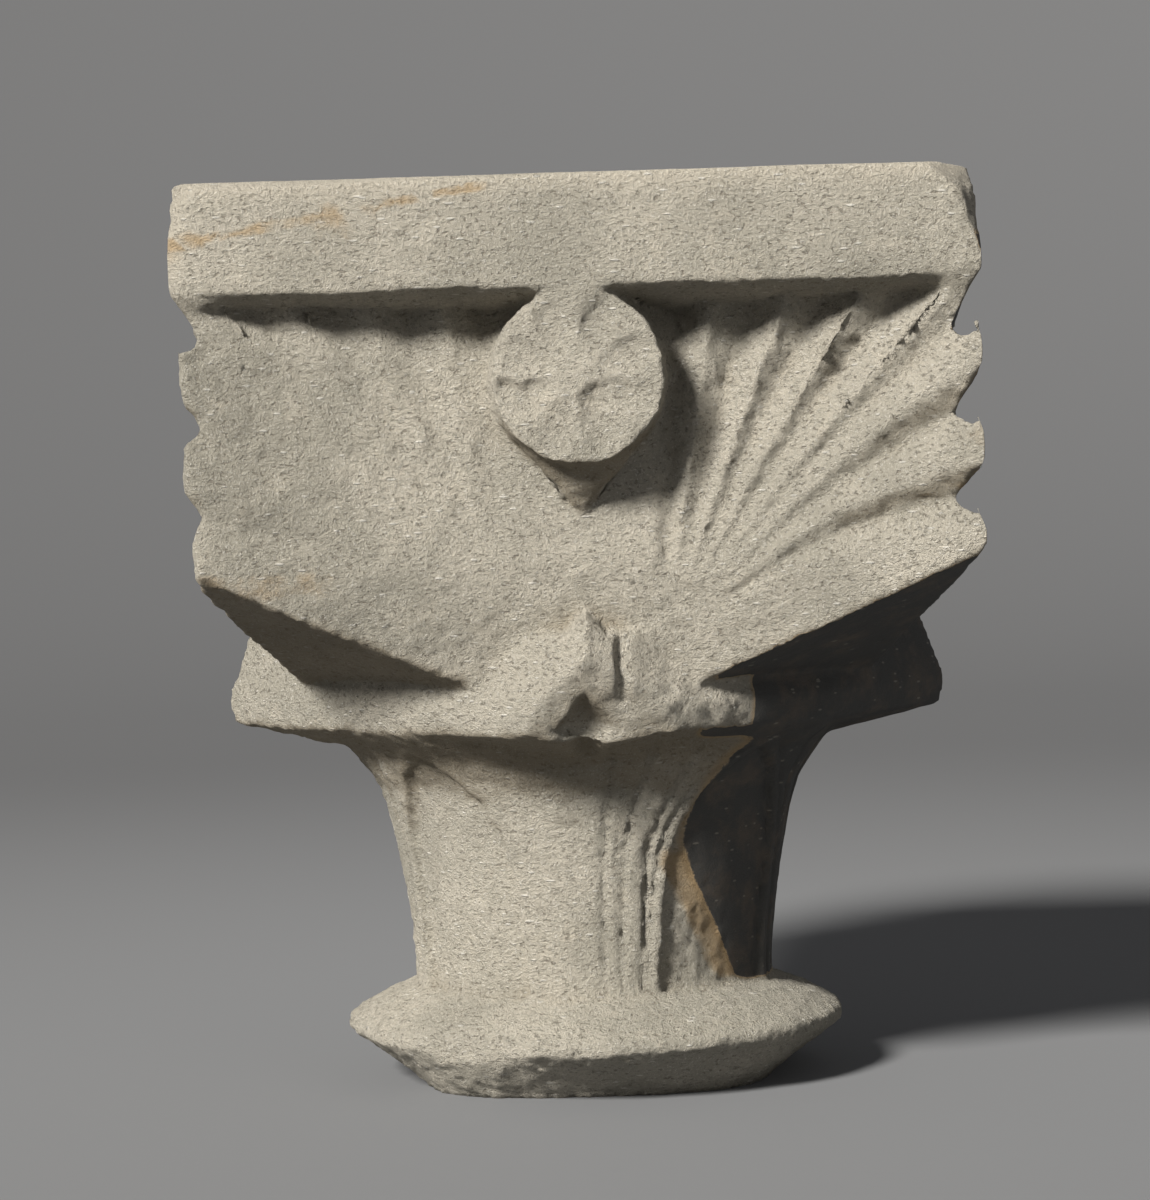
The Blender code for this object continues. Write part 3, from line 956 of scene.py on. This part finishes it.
    def carve_neck(self) -> None:
        """Cuts the reeds of the stems and the fillets round the arched panels."""
        relief, neck = self.relief, self.neck
        x, y, z = relief.points.T
        angle = np.degrees(np.arctan2(x, -y))
        low = ramp(z, *(neck.lip_z + fade for fade in neck.lip_fade))
        low = low * ramp(z, *(neck.foot_z + fade for fade in neck.foot_fade))
        depth = np.zeros(len(z))
        for side in Side:
            turned = (angle - side.value * 90 + 180) % 360 - 180
            around = np.radians(turned) * neck.radius
            for reed in neck.reed_angles:
                for hand in (-1, 1):
                    away = line_distance(around, z, neck.reed(hand * reed)) / (neck.reed_width / 2)
                    worn = neck.worn_reed_share if side is Side.FRONT and hand < 0 else 1.0
                    depth = np.maximum(depth, worn * neck.reed_depth * Cut.ROUND.depth(away))
            across = np.sin(np.radians(turned - neck.arch_angle)) * np.hypot(x, y)
            near = np.abs(turned - neck.arch_angle) < neck.arch_reach
            worn = neck.worn_arch_share if side is Side.LEFT else 1.0
            for grow in (0.0, neck.fillet_gap):
                away = line_distance(across, z, neck.arch(grow)) / (neck.fillet_width / 2)
                cut = near * worn * neck.fillet_depth * Cut.ROUND.depth(away)
                depth = np.maximum(depth, cut)
        relief.points[:, :2] -= (relief.points[:, :2].T / np.hypot(x, y) * depth * low).T
        relief.write()

    def carve_losses(self) -> None:
        """Chips the ring, the broken front leaf and the rosette of the main face."""
        relief, losses = self.relief, self.losses
        x, y, z = relief.points.T
        around = np.degrees(np.arctan2(x, -y))
        lip = ramp(np.hypot(x, y), *losses.ring_radius) * ramp(z, *losses.ring_z)
        chips = ramp(losses.ring_grain.at(relief.points), *losses.ring_level)
        chips = chips * ramp(np.abs(around - losses.ring_angle), *losses.ring_degrees)
        relief.push(-losses.ring_depth * lip * chips)
        away = np.abs(x - losses.leaf_x) * losses.leaf_narrowing + np.abs(z - losses.leaf_z)
        front = ramp(y, *losses.leaf_y)
        middle = ramp(away, *losses.leaf_size) * front
        crease = Cut.VEE.depth(np.abs(x - losses.crease_x) / losses.crease_half)
        crease = crease * ramp(z, *losses.crease_top) * ramp(z, *losses.crease_foot)
        relief.push(-losses.leaf_depth * middle - losses.crease_depth * crease * front)
        pit = sum(spot.mask(x, z) for spot in losses.pits)
        relief.push(-losses.pit_depth * pit * ramp(y, *losses.pit_y))
        relief.write()

    def roughen(self) -> None:
        """Roughens the skin, less under the crust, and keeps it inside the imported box."""
        relief, weather = self.relief, self.weather
        loose = 1.0 - weather.crust_hold * self.crusted()
        top = np.abs(relief.normals[:, 2]) * ramp(relief.points[:, 2], *weather.bed)
        swell = weather.swell.at(relief.points) * weather.swell_depth
        crumb = weather.crumb.at(relief.points) * weather.crumb_depth
        blurred = relief.averaged(relief.points, weather.proud_rounds)
        proud = np.einsum("ij,ij->i", relief.points - blurred, relief.normals)
        chipped = ramp(weather.chip.at(relief.points), *weather.chip_level)
        chips = ramp(proud, *weather.proud) * chipped
        skin = swell + crumb - weather.skin_loss - chips * weather.chip_depth
        relief.push(skin * loose * (1.0 - weather.bed_hold * top))
        x, y, z = relief.points.T
        brink = ramp(z, *weather.bed) * ramp(-y, *weather.brink)
        lost = weather.brink_loss + weather.brink_left_loss * ramp(x, *weather.brink_left)
        relief.points[:, 2] -= brink * lost
        low, high = (np.array(corner) for corner in CAD_BOX)
        relief.points = np.clip(relief.points, low + weather.margin, high - weather.margin)
        relief.points[relief.points[:, 2] < weather.flat_foot_z, 2] = 0.0
        relief.write()

    def thin(self) -> None:
        """Takes triangles out where the skin is flat."""
        thing = self.relief.thing
        pick(thing)
        triangles = sum(len(face.vertices) - 2 for face in thing.data.polygons)
        decimate = thing.modifiers.new("thin", "DECIMATE")
        decimate.ratio = min(1.0, self.most_triangles / triangles)
        decimate.use_collapse_triangulate = True
        bpy.ops.object.modifier_apply(modifier=decimate.name)
        self.relief.read()
        LOG.info("finished mesh of %d triangles", len(thing.data.polygons))

    def mark(self) -> None:
        """Keeps the masks of painted shade in hollows and undersides, wear, stain and crust."""
        relief, stains_and_shade = self.relief, self.stains_and_shade
        x, y, z = relief.points.T
        # Painted shade: hollows and downward-facing undersides are darkened, less near the band,
        # and kept as the "hollow" mask.
        blurred = relief.averaged(relief.points, stains_and_shade.hollow_rounds)
        hollow = np.einsum("ij,ij->i", blurred - relief.points, relief.normals)
        hollow = ramp(relief.averaged(hollow, stains_and_shade.hollow_blur), *stains_and_shade.hollow_depth)
        down = -relief.averaged(relief.normals, stains_and_shade.under_blur)[:, 2]
        under = ramp(down, *stains_and_shade.under_slope) * ramp(z, *stains_and_shade.under_z)
        shaded = 1.0 - stains_and_shade.band_hold * ramp(z, *stains_and_shade.band_z)
        painted_shade = np.maximum(hollow * stains_and_shade.hollow_shade_share, stains_and_shade.under_shade_share * under)
        relief.store("hollow", painted_shade * shaded)
        left = ramp(x, *stains_and_shade.left_x) * ramp(z, *stains_and_shade.left_z)
        relief.store("worn", ramp(z, *stains_and_shade.top_z) + left)
        relief.store("stain", self.stained(x, z) * ramp(y, *stains_and_shade.front))
        relief.store("crust", self.crusted())

    def stained(self, x: np.ndarray, z: np.ndarray) -> np.ndarray:
        """Ochre of the crack in the band, the right and left edges, the leaf and the crust's rim.

        Args:
            x: Places to the right.
            z: Heights.

        Returns:
            How strong the ochre is.
        """
        stains_and_shade = self.stains_and_shade
        away = np.abs(z - stains_and_shade.crack_z - (x - stains_and_shade.crack_x) * stains_and_shade.crack_slope)
        crack = ramp(away, *stains_and_shade.crack_width) * ramp(x, *stains_and_shade.crack_end)
        edge = sum(spot.mask(x, z) for spot in stains_and_shade.spots)
        leaf = ramp(z, *stains_and_shade.leaf_top) * ramp(z, *stains_and_shade.leaf_foot) * ramp(x, *stains_and_shade.leaf_x)
        y = self.relief.points[:, 1]
        short = self.neck.crust_border(z) - np.degrees(np.arctan2(x, -y))
        halo = ramp(short, *stains_and_shade.halo_outside) * ramp(short, *stains_and_shade.halo_inside)
        halo = halo * ramp(z, *stains_and_shade.halo_top) * ramp(z, *stains_and_shade.halo_foot)
        total = stains_and_shade.crack_share * crack + stains_and_shade.spot_share * edge
        return total + stains_and_shade.leaf_share * leaf + stains_and_shade.halo_share * halo

    def crusted(self) -> np.ndarray:
        """Where the dark crust lies: the right face, and the leaf, panel and neck below it.

        Returns:
            The mask, 0.5 at the crust's border.
        """
        crust = self.crust
        normals = self.relief.averaged(self.relief.normals, crust.normal_rounds)
        x, y, z = self.relief.points.T
        around = np.degrees(np.arctan2(x, -y))
        neck = border(around, self.neck.crust_border(z), crust.neck_blur)
        tier = border(around, crust.tier_angle, crust.tier_blur)
        sideways = border(normals[:, 0], crust.side_slope, crust.side_blur)
        under = border(-normals[:, 2], crust.under_slope, crust.under_blur)
        under = under * ramp(x, *crust.under_x) * ramp(z, *crust.under_z)
        fan = np.maximum(sideways * ramp(x, *crust.fan_x) * ramp(z, *crust.fan_z), under)
        upper = ramp(z, *crust.upper_z)
        low = ramp(z, *crust.neck_z)
        mask = upper * fan + (1 - upper) * (low * neck + (1 - low) * tier)
        mask = np.maximum(mask, under * (1 - low))
        fade = np.clip((around - crust.back_angle) / crust.back_fade, 0, 1)
        return mask * ramp(z, *crust.ring_z) * (1 - fade) * (around > 0)

    def dress(self) -> bpy.types.Object:
        """Gives the piece its finish and its place in the frame.

        Returns:
            The finished piece.
        """
        thing = self.relief.thing
        thing.data.materials.append(self.finish.material())
        pick(thing)
        bpy.ops.object.shade_smooth()
        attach(thing, "root")
        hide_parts(self.node)
        return thing


@dataclass
class Studio:
    """Floor, lights and camera.

    Attributes:
        distance: From the camera to the capital's axis.
        eye_height: Height of the camera.
        pitch: Degrees that it looks down.
        roll: Degrees that it leans.
        aside: How far it stands to the right.
        lens: Focal length in millimetres on the sensor's long side.
        sensor: Length of that side in millimetres.
        clip: Nearest and farthest distance that it sees.
        floor_grey: Colour of the floor near the capital.
        rim_shade_grey: Colour of its rim, darker as painted shade of the far backdrop.
        rim_shade_reach: From where to where the painted shade deepens.
        floor_flat: Radius of the flat part.
        floor_reach: Radius of the rim.
        floor_rise: Height of the rim.
        middle_z: Height that the lights look at.
        light_distance: From the lights to there.
        key_colour: Colour of the key; its angles are in degrees, azimuth round to the right.
        key_softness: Degrees across the key's disc.
        fill_size: Side of the fill in metres.
        sky_colour: Colour of the world, with alpha.
    """

    distance: float = 1.497
    eye_height: float = 0.240
    pitch: float = 2.17
    roll: float = -1.7
    aside: float = -0.0034
    lens: float = 115.5
    sensor: float = 36.0
    clip: Span = (0.01, 50.0)
    floor_grey: Rgb = (0.155, 0.158, 0.163)
    rim_shade_grey: Rgb = (0.080, 0.081, 0.084)
    rim_shade_reach: Span = (0.1, 1.7)
    floor_roughness: float = 0.9
    floor_sides: int = 96
    floor_flat: float = 2.2
    floor_reach: float = 5.0
    floor_rise: float = 1.6
    rim_steps: int = 14
    middle_z: float = 0.17
    light_distance: float = 2.0
    key_azimuth: float = -38.0
    key_elevation: float = 33.0
    key_energy: float = 8.0
    key_colour: Rgb = (1.0, 0.975, 0.93)
    key_softness: float = 13.0
    fill_azimuth: float = 35.0
    fill_elevation: float = 15.0
    fill_size: float = 1.2
    fill_energy: float = 3.0
    sky_colour: tuple[float, ...] = (0.5, 0.5, 0.51, 1.0)
    sky_strength: float = 0.34

    def build(self) -> None:
        """Makes the studio."""
        self.floor()
        self.lights()
        self.camera()

    def floor(self) -> bpy.types.Object:
        """A wide round floor that rises softly at its rim; its grey darkens towards the rim as
        painted shade.

        Returns:
            The floor.
        """
        deselect_all()
        bpy.ops.mesh.primitive_circle_add(
            vertices=self.floor_sides, radius=self.floor_flat, fill_type="NGON"
        )
        thing = bpy.context.object
        thing.name = "studio_floor"
        bpy.ops.object.mode_set(mode="EDIT")
        for step in range(1, self.rim_steps + 1):
            bpy.ops.mesh.extrude_region()
            share = step / self.rim_steps
            before = (step - 1) / self.rim_steps
            grow = self.radius_at(share) / self.radius_at(before)
            bpy.ops.transform.resize(value=(grow, grow, 1.0))
            rise = self.floor_rise * (share**2 - before**2)
            bpy.ops.transform.translate(value=(0.0, 0.0, rise))
        bpy.ops.mesh.delete(type="FACE")
        bpy.ops.object.mode_set(mode="OBJECT")
        bpy.ops.object.shade_smooth()
        material = bpy.data.materials.new("studio_grey")
        material.use_nodes = True
        shader = material.node_tree.nodes["Principled BSDF"]
        graph = Graph(material.node_tree)
        away = graph.node("ShaderNodeVectorMath")
        away.operation = "LENGTH"
        graph.put(graph.node("ShaderNodeTexCoord").outputs["Object"], away.inputs[0])
        # Painted shade: the grey darkens with distance towards the rim.
        rim = graph.step(away.outputs["Value"], *self.rim_shade_reach)
        graph.put(graph.mix(rim, self.floor_grey, self.rim_shade_grey), shader.inputs["Base Color"])
        shader.inputs["Roughness"].default_value = self.floor_roughness
        thing.data.materials.append(material)
        return thing

    def radius_at(self, share: float) -> float:
        """Radius of the floor's rim at a share of its rise."""
        return self.floor_flat + (self.floor_reach - self.floor_flat) * share

    def lights(self) -> None:
        """A wide soft key from the left, a weak fill and a grey world."""
        key = self.light("key_light", "SUN", self.key_azimuth, self.key_elevation)
        key.energy = self.key_energy
        key.color = self.key_colour
        key.angle = math.radians(self.key_softness)
        fill = self.light("fill_light", "AREA", self.fill_azimuth, self.fill_elevation)
        fill.size = self.fill_size
        fill.energy = self.fill_energy
        world = bpy.data.worlds.new("studio")
        bpy.context.scene.world = world
        world.use_nodes = True
        background = world.node_tree.nodes["Background"]
        background.inputs["Color"].default_value = self.sky_colour
        background.inputs["Strength"].default_value = self.sky_strength

    def light(self, name: str, kind: str, azimuth: float, elevation: float) -> bpy.types.Light:
        """Adds a light that looks at the middle of the capital.

        Args:
            name: The light's name.
            kind: Its type.
            azimuth: Degrees round to the right of the main face.
            elevation: Degrees above the capital's middle.

        Returns:
            The light's data.
        """
        data = bpy.data.lights.new(name, kind)
        thing = bpy.data.objects.new(name, data)
        bpy.context.scene.collection.objects.link(thing)
        around = math.radians(azimuth)
        up = math.radians(elevation)
        across = math.cos(up)
        away = Vector((math.sin(around) * across, -math.cos(around) * across, math.sin(up)))
        thing.location = Vector((0, 0, self.middle_z)) + away * self.light_distance
        thing.rotation_mode = "QUATERNION"
        thing.rotation_quaternion = away.to_track_quat("Z", "Y")
        return data

    def camera(self) -> bpy.types.Object:
        """Places the camera.

        Returns:
            The camera.
        """
        data = bpy.data.cameras.new("camera")
        data.lens = self.lens
        data.sensor_width = self.sensor
        data.clip_start, data.clip_end = self.clip
        thing = bpy.data.objects.new("camera", data)
        bpy.context.scene.collection.objects.link(thing)
        look = Matrix.Rotation(math.radians(90.0 - self.pitch), 4, "X")
        lean = Matrix.Rotation(math.radians(self.roll), 4, "Z")
        place = Matrix.Translation((self.aside, -self.distance, self.eye_height))
        thing.matrix_world = place @ look @ lean
        bpy.context.scene.camera = thing
        return thing


def main() -> None:
    """Builds the capital and its studio."""
    logging.basicConfig(level=logging.INFO)
    Studio().build()
    stone = Capital().build()
    LOG.info("%s has %d faces", stone.name, len(stone.data.polygons))
    bpy.context.scene.view_settings.view_transform = "Standard"


if __name__ == "__main__":
    main()
